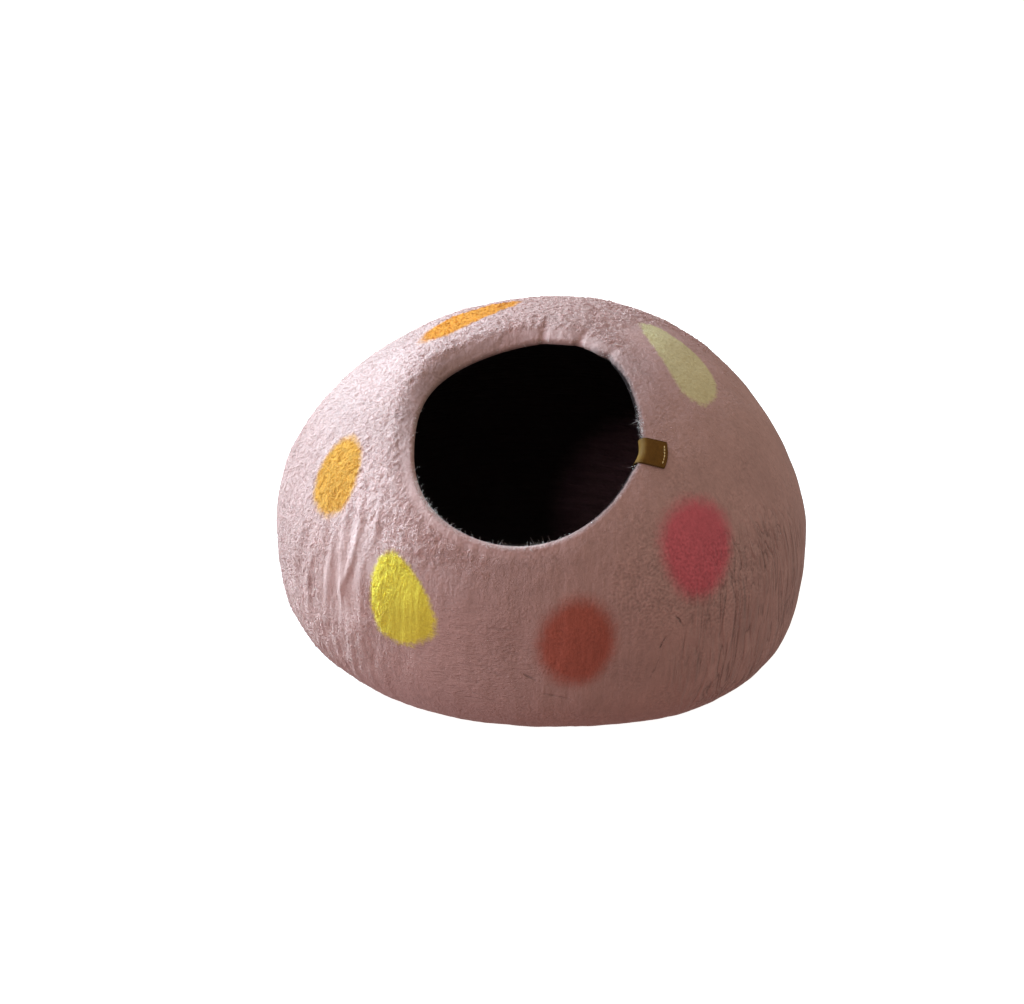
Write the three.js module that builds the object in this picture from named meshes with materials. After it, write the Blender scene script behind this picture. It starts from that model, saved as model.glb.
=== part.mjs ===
// A felt cat cave: one seamless hollow pod of thick wool felt, with a round opening whose edge
// rolls inwards, and a small strip of leather folded over that edge as a tag.
//
// Millimetres and degrees, +Z up. The pod stands on z = 0 and its opening faces -Y and upwards.
//
// The skin is measured outwards from the heart, a point inside the pod, along a direction. An
// azimuth is 0 towards -Y and 90 towards +X, and an elevation is 90 straight up. Round the
// opening, a turn is 0 at its right side and 90 at its top, and a spread is the angle away from
// the opening's axis.

import * as THREE from 'three';

// ---------------------------------------------------------------- sizes

const WALL = 8;
const HEART_HEIGHT = 128;
const RADIUS = 230;
const CROWN = { reach: 193, power: 1.95 };
const BELLY = { reach: 135, power: 3.8 };
const FOOT_EASE = 2;

const MOUTH = { elevation: 46, spread: 29.35 };

// How the opening's edge wanders from a circle, in degrees of spread, for one wave round the
// opening, two waves, and so on.
const MOUTH_WAVES = [
  { cosine: 0.94, sine: 2.35 },
  { cosine: -1.66, sine: -0.46 },
  { cosine: -0.18, sine: 0.15 },
  { cosine: -0.13, sine: -0.47 },
  { cosine: 0.29, sine: 0.08 },
];

// The felt by the opening turns inwards, gently at first and then over a round shoulder, each
// most of all at the turn `at`. A greater focus keeps it to fewer turns on either side.
const ROLLS = [
  { depth: 9, reach: 34, at: 128, focus: 4 },
  { depth: 7, reach: 16, at: 140, focus: 3 },
];

// Broad swellings and hollows of the hand-shaped felt.
const BULGES = [
  { azimuth: 95, elevation: 4, width: 32, rise: 8.5 },
  { azimuth: 105, elevation: 24, width: 30, rise: -7.5 },
  { azimuth: 125, elevation: 50, width: 30, rise: 5 },
  { azimuth: -70, elevation: 0, width: 30, rise: 12 },
  { azimuth: 18, elevation: -30, width: 30, rise: -8 },
  { azimuth: 60, elevation: -26, width: 30, rise: 4 },
  { azimuth: 178, elevation: 12, width: 34, rise: 5 },
  { azimuth: -140, elevation: 38, width: 28, rise: -4 },
];

// Upright ridges in the felt: the azimuth of each at its top, half way and bottom.
const RIDGES = [
  { top: 28, bottom: -4, azimuth: [-39.2, -31.4, -37.3], rise: 1.7, width: 3.8 },
  { top: 25, bottom: -7, azimuth: [-39.1, -34.8, -34.2], rise: 1.5, width: 3.8 },
  { top: 19, bottom: -14, azimuth: [-39.5, -38.2, -41.5], rise: 1.6, width: 4.6 },
  { top: 26, bottom: 9, azimuth: [-30.2, -27.6, -27.6], rise: 1.2, width: 3.6 },
  { top: 16, bottom: -13, azimuth: [-29.3, -28.6, -27.6], rise: 1.2, width: 5.0 },
  { top: 12, bottom: -12, azimuth: [-43.2, -44.8, -47.0], rise: 1.4, width: 5.5 },
  { top: 14, bottom: -10, azimuth: [-48.6, -50.4, -53.0], rise: 1.4, width: 5.5 },
];

// Where the edge of the opening is gathered, and between the gathers swells, and last where it
// gives under the tag: how far each draws the edge back and presses the felt in.
const PUCKERS = [
  { turn: 91, width: 3.5, back: 2, press: 1.2 },
  { turn: 82, width: 13, back: -2.6, press: -1.2 },
  { turn: 73, width: 3.5, back: 2.6, press: 1.8 },
  { turn: 63, width: 6, back: -1.2, press: -0.6 },
  { turn: 56, width: 4.5, back: 2.8, press: 1.5 },
  { turn: 356.6, width: 17, back: 4.2, press: 0.3 },
];
const PUCKER_REACH = 20;

const TAG = { turn: 356.6, width: 26, leaf: 18.5, thickness: 1.1, gap: 0.4 };

// ---------------------------------------------------------------- mesh density

// Each column runs from the opening's edge to the foot. A row says at which turn of the opening
// and at which azimuth of the foot a group of columns starts, and how many it has. The next
// row, or the first one a full turn on, is where it ends.
const COLUMN_GROUPS = [
  { turn: -20, foot: 50, columns: 13 },
  { turn: 40, foot: 110, columns: 20 },
  { turn: 100, foot: 185, columns: 15 },
  { turn: 165, foot: 290, columns: 6 },
  { turn: 183, foot: 308, columns: 34 },
  { turn: 222, foot: 337, columns: 26 },
];
const OUTER_ROWS = 30;
const INNER_ROWS = 11;
const LIP_STEPS = 4;
const ROW_CROWDING = 1.35;
const FOOT_EDGE_ELEVATION = -54;
const SWING = { weight: 0.8, elevation: 25, variation: 25 };
const TAG_STEPS = { across: 8, leaf: 7, fold: 8 };

const PROBE = 1e-3;

// ---------------------------------------------------------------- directions

const radians = THREE.MathUtils.degToRad;
const degrees = THREE.MathUtils.radToDeg;

function directionOf(azimuth, elevation) {
  const a = radians(azimuth);
  const e = radians(elevation);
  return new THREE.Vector3(Math.cos(e) * Math.sin(a), -Math.cos(e) * Math.cos(a), Math.sin(e));
}

const MOUTH_AXIS = directionOf(0, MOUTH.elevation);
const MOUTH_RIGHT = new THREE.Vector3(1, 0, 0);
const MOUTH_UP = directionOf(0, MOUTH.elevation + 90);

function mouthDirection(turn, spread) {
  const t = radians(turn);
  const s = radians(spread);
  return new THREE.Vector3()
    .addScaledVector(MOUTH_AXIS, Math.cos(s))
    .addScaledVector(MOUTH_RIGHT, Math.sin(s) * Math.cos(t))
    .addScaledVector(MOUTH_UP, Math.sin(s) * Math.sin(t));
}

function mouthAngles(direction) {
  const right = direction.dot(MOUTH_RIGHT);
  const up = direction.dot(MOUTH_UP);
  return {
    turn: degrees(Math.atan2(up, right)),
    spread: degrees(MOUTH_AXIS.angleTo(direction)),
  };
}

function turnsApart(one, other) {
  return THREE.MathUtils.euclideanModulo(one - other + 180, 360) - 180;
}

// ---------------------------------------------------------------- the opening's edge

function puckerAt(pucker, turn) {
  const alongEdge = radians(turnsApart(turn, pucker.turn)) * RADIUS * Math.sin(radians(MOUTH.spread));
  return Math.exp(-((alongEdge / pucker.width) ** 2));
}

function edgeSpread(turn) {
  let spread = MOUTH.spread;
  MOUTH_WAVES.forEach((wave, index) => {
    const angle = radians(turn) * (index + 1);
    spread += wave.cosine * Math.cos(angle) + wave.sine * Math.sin(angle);
  });
  for (const pucker of PUCKERS) {
    spread += degrees(pucker.back / RADIUS) * puckerAt(pucker, turn);
  }
  return spread;
}

// ---------------------------------------------------------------- the skin

function bodyReach(direction) {
  const level = Math.hypot(direction.x, direction.y);
  const half = direction.z >= 0 ? CROWN : BELLY;
  const sum = (level / RADIUS) ** half.power + (Math.abs(direction.z) / half.reach) ** half.power;
  return sum ** (-1 / half.power);
}

const BULGE_AXES = BULGES.map((bulge) => directionOf(bulge.azimuth, bulge.elevation));

function bulgeRise(direction) {
  return BULGES.reduce((rise, bulge, index) => {
    const apart = degrees(BULGE_AXES[index].angleTo(direction));
    return rise + bulge.rise * Math.exp(-((apart / bulge.width) ** 2));
  }, 0);
}

// Rolling and puckering: both fade with the distance from the opening's edge.
function edgeDip(direction, reach) {
  const { turn, spread } = mouthAngles(direction);
  const away = radians(spread - edgeSpread(turn)) * reach;
  const fade = (distance) => THREE.MathUtils.clamp(1 - away / distance, 0, 1) ** 2;
  let dip = 0;
  for (const roll of ROLLS) {
    const rolled = ((1 + Math.cos(radians(turn - roll.at))) / 2) ** roll.focus;
    dip += roll.depth * rolled * fade(roll.reach);
  }
  for (const pucker of PUCKERS) {
    dip += pucker.press * puckerAt(pucker, turn) * fade(PUCKER_REACH);
  }
  return dip;
}

function ridgeRise(direction) {
  const azimuth = degrees(Math.atan2(direction.x, -direction.y));
  const elevation = degrees(Math.asin(THREE.MathUtils.clamp(direction.z, -1, 1)));
  return RIDGES.reduce((rise, ridge) => {
    const down = (ridge.top - elevation) / (ridge.top - ridge.bottom);
    if (down <= 0 || down >= 1) return rise;
    const [top, middle, bottom] = ridge.azimuth;
    const bow = middle - (top + bottom) / 2;
    const crest = top + (bottom - top) * down + bow * 4 * down * (1 - down);
    const off = radians(turnsApart(azimuth, crest)) * RADIUS * Math.cos(radians(elevation));
    return rise + ridge.rise * Math.sin(Math.PI * down) * Math.exp(-((off / ridge.width) ** 2));
  }, 0);
}

// The foot is flat: what would lie below the floor is eased up to it.
function onFloor(height) {
  if (height <= -FOOT_EASE) return 0;
  if (height >= FOOT_EASE) return height;
  return (height + FOOT_EASE) ** 2 / (4 * FOOT_EASE);
}

function skinPoint(direction, withRidges = true) {
  let reach = bodyReach(direction) + bulgeRise(direction);
  reach -= edgeDip(direction, reach);
  if (withRidges) reach += ridgeRise(direction);
  const point = direction.clone().multiplyScalar(reach);
  point.z = onFloor(point.z + HEART_HEIGHT);
  return point;
}

// The skin's outward normal, from the points a small step to either side.
function skinNormal(direction) {
  const helper = Math.abs(direction.z) < 0.9 ? new THREE.Vector3(0, 0, 1) : MOUTH_RIGHT;
  const across = new THREE.Vector3().crossVectors(helper, direction).normalize();
  const along = new THREE.Vector3().crossVectors(direction, across);
  const slope = (side) => {
    const ahead = direction.clone().addScaledVector(side, PROBE).normalize();
    const behind = direction.clone().addScaledVector(side, -PROBE).normalize();
    return skinPoint(ahead, false).sub(skinPoint(behind, false));
  };
  return new THREE.Vector3().crossVectors(slope(across), slope(along)).normalize();
}

// A point of the felt: depth 0 is the skin and depth WALL is the inner face, which is smooth.
function feltPoint(direction, depth) {
  const point = skinPoint(direction, depth === 0);
  return depth === 0 ? point : point.addScaledVector(skinNormal(direction), -depth);
}

// ---------------------------------------------------------------- the pod's grid

function columnStarts() {
  const starts = [];
  COLUMN_GROUPS.forEach((group, index) => {
    const last = index === COLUMN_GROUPS.length - 1;
    const next = last ? COLUMN_GROUPS[0] : COLUMN_GROUPS[index + 1];
    const lap = last ? 360 : 0;
    for (let step = 0; step < group.columns; step += 1) {
      const part = step / group.columns;
      starts.push({
        turn: THREE.MathUtils.lerp(group.turn, next.turn + lap, part),
        foot: THREE.MathUtils.lerp(group.foot, next.foot + lap, part),
      });
    }
  });
  return starts;
}

// Part 0 is on the opening's edge and part 1 at the rim of the flat foot.
function columnDirection({ turn, foot }, part) {
  const edge = mouthDirection(turn, edgeSpread(turn));
  const swing = directionOf(foot, SWING.elevation + SWING.variation * Math.sin(radians(turn)));
  const end = directionOf(foot, FOOT_EDGE_ELEVATION);
  return new THREE.Vector3()
    .addScaledVector(edge, (1 - part) ** 2)
    .addScaledVector(swing, 2 * SWING.weight * part * (1 - part))
    .addScaledVector(end, part ** 2)
    .normalize();
}

function wallRings(starts, rows, depth) {
  const rings = [];
  for (let row = 0; row <= rows; row += 1) {
    const part = (row / rows) ** ROW_CROWDING;
    rings.push(starts.map((start) => feltPoint(columnDirection(start, part), depth)));
  }
  return rings;
}

// Which way the felt's edge faces: along the skin, into the opening.
function edgeFacing(turn) {
  const spread = edgeSpread(turn);
  const direction = mouthDirection(turn, spread);
  const normal = skinNormal(direction);
  const further = skinPoint(mouthDirection(turn, spread + 1), false);
  const facing = skinPoint(direction, false).sub(further);
  return facing.addScaledVector(normal, -facing.dot(normal)).normalize();
}

// The rounded edge between the skin and the inner face.
function lipRings(starts, outerEdge, innerEdge) {
  const facings = starts.map((start) => edgeFacing(start.turn));
  const rings = [];
  for (let step = 1; step < LIP_STEPS; step += 1) {
    const angle = (Math.PI * step) / LIP_STEPS;
    rings.push(outerEdge.map((outer, index) => {
      const inner = innerEdge[index];
      const middle = outer.clone().add(inner).multiplyScalar(0.5);
      return middle
        .clone()
        .addScaledVector(outer.clone().sub(middle), Math.cos(angle))
        .addScaledVector(facings[index], (WALL / 2) * Math.sin(angle));
    }));
  }
  return rings;
}

// ---------------------------------------------------------------- closed meshes

function closedGeometry(points, triangles) {
  const geometry = new THREE.BufferGeometry();
  geometry.setAttribute('position', new THREE.Float32BufferAttribute(points.flatMap((p) => p.toArray()), 3));
  geometry.setIndex(triangles.flat());
  geometry.computeVertexNormals();
  return geometry;
}

// Rings of equal length, one after another, closed at both ends by a point.
function ringedGeometry(firstPole, rings, lastPole) {
  const count = rings[0].length;
  const points = [firstPole, ...rings.flat(), lastPole];
  const at = (ring, column) => 1 + ring * count + (column % count);
  const triangles = [];
  for (let column = 0; column < count; column += 1) {
    triangles.push([0, at(0, column + 1), at(0, column)]);
    triangles.push([points.length - 1, at(rings.length - 1, column), at(rings.length - 1, column + 1)]);
    for (let ring = 0; ring + 1 < rings.length; ring += 1) {
      const corners = [at(ring, column), at(ring + 1, column), at(ring + 1, column + 1), at(ring, column + 1)];
      triangles.push([corners[0], corners[2], corners[1]], [corners[0], corners[3], corners[2]]);
    }
  }
  return closedGeometry(points, triangles);
}

function shellGeometry() {
  const starts = columnStarts();
  const outer = wallRings(starts, OUTER_ROWS, 0);
  const inner = wallRings(starts, INNER_ROWS, WALL);
  const rings = [
    ...[...outer].reverse(),
    ...lipRings(starts, outer[0], inner[0]),
    ...inner,
  ];
  return ringedGeometry(new THREE.Vector3(0, 0, 0), rings, new THREE.Vector3(0, 0, WALL));
}

// ---------------------------------------------------------------- the leather tag

// A point of the strip's inner or outer face. `across` runs over its width, and `along` over
// its length: 0 at the middle of the fold, positive on the outer leaf.
function tagPoint(across, along, lift) {
  const bend = (Math.PI * (WALL / 2 + TAG.gap)) / 2;
  const beyond = Math.max(0, Math.abs(along) - bend);
  const edge = edgeSpread(TAG.turn);
  const spread = edge + degrees(beyond / RADIUS);
  const turn = TAG.turn + degrees(across / (RADIUS * Math.sin(radians(spread))));
  const direction = mouthDirection(turn, edgeSpread(turn) + spread - edge);
  const normal = skinNormal(direction);
  const middle = skinPoint(direction, false).addScaledVector(normal, -WALL / 2);
  const height = WALL / 2 + TAG.gap + lift;
  if (beyond > 0) return middle.addScaledVector(normal, Math.sign(along) * height);
  const angle = (Math.PI / 2) * (1 - along / bend);
  return middle
    .addScaledVector(normal, height * Math.cos(angle))
    .addScaledVector(edgeFacing(turn), height * Math.sin(angle));
}

function tagStations() {
  const bend = (Math.PI * (WALL / 2 + TAG.gap)) / 2;
  const stations = [];
  for (let step = 0; step < TAG_STEPS.leaf; step += 1) {
    stations.push(bend + TAG.leaf * (1 - step / TAG_STEPS.leaf));
  }
  for (let step = 0; step <= TAG_STEPS.fold; step += 1) {
    stations.push(bend * (1 - (2 * step) / TAG_STEPS.fold));
  }
  for (let step = 1; step <= TAG_STEPS.leaf; step += 1) {
    stations.push(-bend - (TAG.leaf * step) / TAG_STEPS.leaf);
  }
  return stations;
}

// The strip's cross-section goes round its outer face and back along its inner face.
function tagGeometry() {
  const places = Array.from({ length: TAG_STEPS.across + 1 }, (_, i) => i / TAG_STEPS.across - 0.5);
  const section = [
    ...places.map((place) => ({ across: place * TAG.width, lift: TAG.thickness })),
    ...[...places].reverse().map((place) => ({ across: place * TAG.width, lift: 0 })),
  ];
  const rings = tagStations().map((along) => section.map(({ across, lift }) => tagPoint(across, along, lift)));
  const middleOf = (ring) => {
    const centre = (places.length - 1) / 2;
    return ring[centre].clone().add(ring[section.length - 1 - centre]).multiplyScalar(0.5);
  };
  return ringedGeometry(middleOf(rings[0]), rings, middleOf(rings[rings.length - 1]));
}

// ---------------------------------------------------------------- materials and assembly

function feltMaterial() {
  return new THREE.MeshStandardMaterial({ name: 'felt', color: 0xc9a3a4, roughness: 0.95, metalness: 0 });
}

function leatherMaterial() {
  return new THREE.MeshStandardMaterial({ name: 'leather', color: 0x7d5226, roughness: 0.6, metalness: 0 });
}

function namedMesh(name, geometry, material) {
  const mesh = new THREE.Mesh(geometry, material);
  mesh.name = name;
  return mesh;
}

// The pod is moved so that the middle of its box is over the origin.
function buildCave() {
  const cave = new THREE.Group();
  cave.add(namedMesh('shell', shellGeometry(), feltMaterial()));
  cave.add(namedMesh('tag', tagGeometry(), leatherMaterial()));
  const middle = new THREE.Box3().setFromObject(cave).getCenter(new THREE.Vector3());
  cave.position.set(-middle.x, -middle.y, 0);
  return cave;
}

export default buildCave();
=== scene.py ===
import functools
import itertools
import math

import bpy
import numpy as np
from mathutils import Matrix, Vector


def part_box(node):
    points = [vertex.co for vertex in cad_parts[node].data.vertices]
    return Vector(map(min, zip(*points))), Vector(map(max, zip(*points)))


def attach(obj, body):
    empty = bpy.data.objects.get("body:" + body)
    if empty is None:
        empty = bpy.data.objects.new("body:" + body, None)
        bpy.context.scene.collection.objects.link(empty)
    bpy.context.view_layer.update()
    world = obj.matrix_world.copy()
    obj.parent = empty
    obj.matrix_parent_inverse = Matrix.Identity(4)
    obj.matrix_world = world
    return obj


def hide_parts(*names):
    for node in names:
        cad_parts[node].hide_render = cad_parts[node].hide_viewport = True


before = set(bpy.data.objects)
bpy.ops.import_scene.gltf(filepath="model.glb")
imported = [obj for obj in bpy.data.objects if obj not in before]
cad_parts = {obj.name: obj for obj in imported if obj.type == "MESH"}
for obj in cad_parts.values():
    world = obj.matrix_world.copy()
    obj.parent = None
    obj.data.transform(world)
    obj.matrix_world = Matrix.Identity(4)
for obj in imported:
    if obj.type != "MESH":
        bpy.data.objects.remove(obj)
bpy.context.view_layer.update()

# A felt cat cave: one seamless pod of thick wool felt with feltwork spots, a rolled opening and a
# small leather tag. The shape's tables are in millimetres and degrees, as the part's own source
# has them, and the meshes are made in metres.
#
# The skin is measured outwards from the heart, a point inside the pod, along a direction. An
# azimuth is 0 towards -Y and 90 towards +X, and an elevation is 90 straight up. Round the
# opening, a turn is 0 at its right side and 90 at its top, and a spread is the angle away from
# the opening's axis.

MM = 0.001

# -------- the pod's sizes

WALL = 8.0
HEART_HEIGHT = 128.0
RADIUS = 230.0
CROWN_REACH, CROWN_POWER = 193.0, 1.95
BELLY_REACH, BELLY_POWER = 135.0, 3.8
FOOT_EASE = 2.0

MOUTH_ELEVATION = 46.0
MOUTH_SPREAD = 29.35
MOUTH_WAVES = [(0.94, 2.35), (-1.66, -0.46), (-0.18, 0.15), (-0.13, -0.47), (0.29, 0.08)]

# depth, reach, turn where it is deepest, focus
ROLLS = [(9.0, 34.0, 128.0, 4.0), (7.0, 16.0, 140.0, 3.0)]

# azimuth, elevation, width, rise
BULGES = [
    (95, 4, 32, 8.5),
    (105, 24, 30, -7.5),
    (125, 50, 30, 5),
    (-70, 0, 30, 12),
    (18, -30, 30, -8),
    (60, -26, 30, 4),
    (178, 12, 34, 5),
    (-140, 38, 28, -4),
]

# top, bottom, azimuth at the top, half way and at the bottom, rise, width
RIDGES = [
    (28, -4, (-39.2, -31.4, -37.3), 1.7, 3.8),
    (25, -7, (-39.1, -34.8, -34.2), 1.5, 3.8),
    (19, -14, (-39.5, -38.2, -41.5), 1.6, 4.6),
    (26, 9, (-30.2, -27.6, -27.6), 1.2, 3.6),
    (16, -13, (-29.3, -28.6, -27.6), 1.2, 5.0),
    (12, -12, (-43.2, -44.8, -47.0), 1.4, 5.5),
    (14, -10, (-48.6, -50.4, -53.0), 1.4, 5.5),
]

# turn, width, back, press
PUCKERS = [
    (91, 3.5, 2, 0.6),
    (82, 13, -2.6, -0.6),
    (73, 3.5, 2.6, 0.8),
    (63, 6, -1.2, -0.3),
    (56, 4.5, 2.8, 0.7),
    (356.6, 17, 4.2, 0.3),
]
PUCKER_REACH = 20.0

# Columns of the skin's grid: turn of the opening, azimuth of the foot, and how many columns
# follow, in the front finer than behind.
COLUMN_GROUPS = [
    (-20, 50, 66),
    (40, 110, 86),
    (100, 185, 64),
    (165, 290, 30),
    (183, 308, 118),
    (222, 337, 128),
]
OUTER_ROWS = 150
INNER_ROWS = 22
LIP_STEPS = 9
ROW_CROWDING = 1.25
FOOT_EDGE_ELEVATION = -54.0
SWING_WEIGHT, SWING_ELEVATION, SWING_VARIATION = 0.8, 25.0, 25.0
PROBE = 1e-3

# -------- curves and directions


def smooth_step(low, high, value):
    t = np.clip((value - low) / (high - low), 0, 1)
    return t * t * (3 - 2 * t)


def bell(off, width):
    """1 in the middle of a place, falling to 1/e at its width."""
    return np.exp(-((off / width) ** 2))


def cos_of(degrees):
    return math.cos(math.radians(degrees))


def unit(vectors):
    return vectors / np.linalg.norm(vectors, axis=-1, keepdims=True)


def dot(one, other):
    return np.sum(one * other, axis=-1)


def direction_of(azimuth, elevation):
    a, e = np.broadcast_arrays(np.radians(azimuth), np.radians(elevation))
    return np.stack([np.cos(e) * np.sin(a), -np.cos(e) * np.cos(a), np.sin(e)], axis=-1)


def azimuth_of(direction):
    return np.degrees(np.arctan2(direction[..., 0], -direction[..., 1]))


def compass(normal):
    """East and north along a surface that faces this way."""
    east = unit(np.cross([0, 0, 1], normal))
    return east, np.cross(normal, east)


MOUTH_AXIS = direction_of(0, MOUTH_ELEVATION)
MOUTH_RIGHT = np.array([1.0, 0.0, 0.0])
MOUTH_UP = direction_of(0, MOUTH_ELEVATION + 90)


def mouth_direction(turn, spread):
    t, s = (x[..., None] for x in np.broadcast_arrays(np.radians(turn), np.radians(spread)))
    sideways = np.cos(t) * MOUTH_RIGHT + np.sin(t) * MOUTH_UP
    return np.cos(s) * MOUTH_AXIS + np.sin(s) * sideways


def mouth_angles(direction):
    turn = np.degrees(np.arctan2(direction @ MOUTH_UP, direction @ MOUTH_RIGHT))
    spread = np.degrees(np.arccos(np.clip(direction @ MOUTH_AXIS, -1, 1)))
    return turn, spread


def turns_apart(one, other):
    return (one - other + 180) % 360 - 180


# -------- the skin


def pucker_at(pucker, turn):
    at, width = pucker[:2]
    along = np.radians(turns_apart(turn, at)) * RADIUS * math.sin(math.radians(MOUTH_SPREAD))
    return bell(along, width)


def edge_spread(turn):
    spread = np.full(np.shape(turn), MOUTH_SPREAD)
    for count, (cosine, sine) in enumerate(MOUTH_WAVES, 1):
        angle = np.radians(turn) * count
        spread = spread + cosine * np.cos(angle) + sine * np.sin(angle)
    for pucker in PUCKERS:
        spread = spread + math.degrees(pucker[2] / RADIUS) * pucker_at(pucker, turn)
    return spread


def body_reach(direction):
    level = np.hypot(direction[..., 0], direction[..., 1]) / RADIUS
    up = np.abs(direction[..., 2])
    crown = (level**CROWN_POWER + (up / CROWN_REACH) ** CROWN_POWER) ** (-1 / CROWN_POWER)
    belly = (level**BELLY_POWER + (up / BELLY_REACH) ** BELLY_POWER) ** (-1 / BELLY_POWER)
    return np.where(direction[..., 2] >= 0, crown, belly)


def bulge_rise(direction):
    rise = 0
    for azimuth, elevation, width, height in BULGES:
        axis = direction_of(azimuth, elevation)
        apart = np.degrees(np.arccos(np.clip(direction @ axis, -1, 1)))
        rise = rise + height * bell(apart, width)
    return rise


def from_edge(direction, reach=RADIUS):
    """A direction's turn, and how far along the skin it is from the opening's edge."""
    turn, spread = mouth_angles(direction)
    return turn, np.radians(spread - edge_spread(turn)) * reach


def edge_dip(direction, reach):
    turn, away = from_edge(direction, reach)
    dip = 0
    for depth, distance, at, focus in ROLLS:
        rolled = ((1 + np.cos(np.radians(turn - at))) / 2) ** focus
        dip = dip + depth * rolled * np.clip(1 - away / distance, 0, 1) ** 2
    for pucker in PUCKERS:
        near = np.clip(1 - away / PUCKER_REACH, 0, 1)
        dip = dip + pucker[3] * pucker_at(pucker, turn) * near**2
    return dip


def ridge_rise(direction):
    azimuth = azimuth_of(direction)
    elevation = np.degrees(np.arcsin(np.clip(direction[..., 2], -1, 1)))
    rise = np.zeros(azimuth.shape)
    for top, bottom, (first, middle, last), height, width in RIDGES:
        down = np.clip((top - elevation) / (top - bottom), 0, 1)
        bow = middle - (first + last) / 2
        crest = first + (last - first) * down + bow * 4 * down * (1 - down)
        off = np.radians(turns_apart(azimuth, crest)) * RADIUS * np.cos(np.radians(elevation))
        rise = rise + height * np.sin(np.pi * down) * bell(off, width)
    return rise


def on_floor(height):
    eased = (height + FOOT_EASE) ** 2 / (4 * FOOT_EASE)
    return np.where(height <= -FOOT_EASE, 0, np.where(height >= FOOT_EASE, height, eased))


def skin_points(direction, with_ridges=False):
    reach = body_reach(direction) + bulge_rise(direction)
    reach = reach - edge_dip(direction, reach)
    if with_ridges:
        reach = reach + ridge_rise(direction)
    points = direction * reach[..., None]
    points[..., 2] = on_floor(points[..., 2] + HEART_HEIGHT)
    return points


def skin_normals(direction):
    helper = np.where(np.abs(direction[..., 2:]) < 0.9, [0.0, 0.0, 1.0], MOUTH_RIGHT)
    across = unit(np.cross(helper, direction))
    along = np.cross(direction, across)
    slopes = []
    for side in (across, along):
        ahead = skin_points(unit(direction + PROBE * side))
        behind = skin_points(unit(direction - PROBE * side))
        slopes.append(ahead - behind)
    return unit(np.cross(*slopes))


def edge_facing(turn):
    """Which way the felt's edge faces: along the skin, into the opening."""
    spread = edge_spread(turn)
    direction = mouth_direction(turn, spread)
    normal = skin_normals(direction)
    facing = skin_points(direction) - skin_points(mouth_direction(turn, spread + 1))
    return unit(facing - normal * dot(facing, normal)[..., None])


def column_starts():
    turns, feet = [], []
    closing = (COLUMN_GROUPS[0][0] + 360, COLUMN_GROUPS[0][1] + 360, 0)
    for here, ahead in zip(COLUMN_GROUPS, COLUMN_GROUPS[1:] + [closing]):
        part = np.arange(here[2]) / here[2]
        turns.append(here[0] + (ahead[0] - here[0]) * part)
        feet.append(here[1] + (ahead[1] - here[1]) * part)
    return np.concatenate(turns), np.concatenate(feet)


def column_directions(turn, foot, part):
    """Where the columns are at this part of their way from the opening's edge to the foot."""
    edge = mouth_direction(turn, edge_spread(turn))
    swing = direction_of(foot, SWING_ELEVATION + SWING_VARIATION * np.sin(np.radians(turn)))
    end = direction_of(foot, FOOT_EDGE_ELEVATION)
    weights = (1 - part) ** 2, 2 * SWING_WEIGHT * part * (1 - part), part**2
    return unit(weights[0] * edge + weights[1] * swing + weights[2] * end)


def row_directions(turn, foot, rows):
    return [column_directions(turn, foot, (row / rows) ** ROW_CROWDING) for row in range(rows + 1)]


# -------- the feltwork's tables

# Each spot of coloured wool: azimuth and elevation of its middle, how far its long axis leans
# clockwise from upright, its length and width, how much its top narrows, how much it bends, the
# softness of its edge, and its wool.
SPOTS = [
    (-44.6, 21.6, -10, 69, 52, 0.14, -0.05, 0.14, "golden"),
    (-19.2, 3.2, -21, 78, 56, 0.34, 0.04, 0.1, "yellow"),
    (18.1, -1.3, 3, 77, 61, 0.02, 0.02, 0.26, "terracotta"),
    (44.8, 15.5, 4, 78, 66, -0.14, 0.02, 0.25, "pink"),
    (84.0, 55.1, 38, 107, 53, 0.2, -0.36, 0.08, "cream"),
    (-87.1, 67.7, -45, 100, 43, 0.07, 0.09, 0.12, "orange"),
    (135, 22, 8, 76, 60, 0.1, 0.04, 0.14, "yellow"),
    (172, 38, -14, 80, 62, 0.15, -0.04, 0.16, "golden"),
    (-145, 30, 12, 78, 62, 0.1, 0.04, 0.2, "pink"),
    (-112, 8, -6, 74, 60, 0.2, 0.03, 0.12, "cream"),
    (165, -2, 10, 76, 60, 0.05, 0.05, 0.22, "terracotta"),
    (-165, -8, -8, 72, 58, 0.1, -0.04, 0.14, "orange"),
    (122, -12, 4, 72, 58, 0.1, 0.04, 0.18, "pink"),
]

# A spot colours the skin down to this far behind its middle, and not the pod's other side.
SPOT_DEPTH = 60.0

WOOLS = {
    "body": (0.5, 0.315, 0.295),
    "painted_light_body": (0.565, 0.38, 0.363),
    "painted_soft_light_body": (0.5, 0.335, 0.318),
    "painted_shade_body": (0.44, 0.277, 0.26),
    "golden": (0.55, 0.255, 0.038),
    "yellow": (0.77, 0.635, 0.066),
    "terracotta": (0.43, 0.118, 0.085),
    "pink": (0.62, 0.142, 0.18),
    "cream": (0.61, 0.545, 0.3),
    "orange": (0.59, 0.222, 0.024),
}

# Fine creases pressed into the felt: azimuth and elevation of both ends, depth and width.
CREASES = [
    (37.9, 3.8, 40.6, -0.4, 0.9, 1.3),
    (36.6, -1.0, 34.7, -5.2, 1.0, 1.2),
    (7.0, -8.4, 11.2, -10.6, 0.7, 1.4),
    (9.5, -12.6, 18.7, -15.2, 0.6, 1.6),
    (36.0, -5.0, 33.5, -12.0, 0.5, 1.6),
    (42.0, -4.0, 41.0, -13.0, 0.5, 1.6),
]

# How far the creases stray from straight lines, in all.
CREASE_WANDER = 3.0

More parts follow.
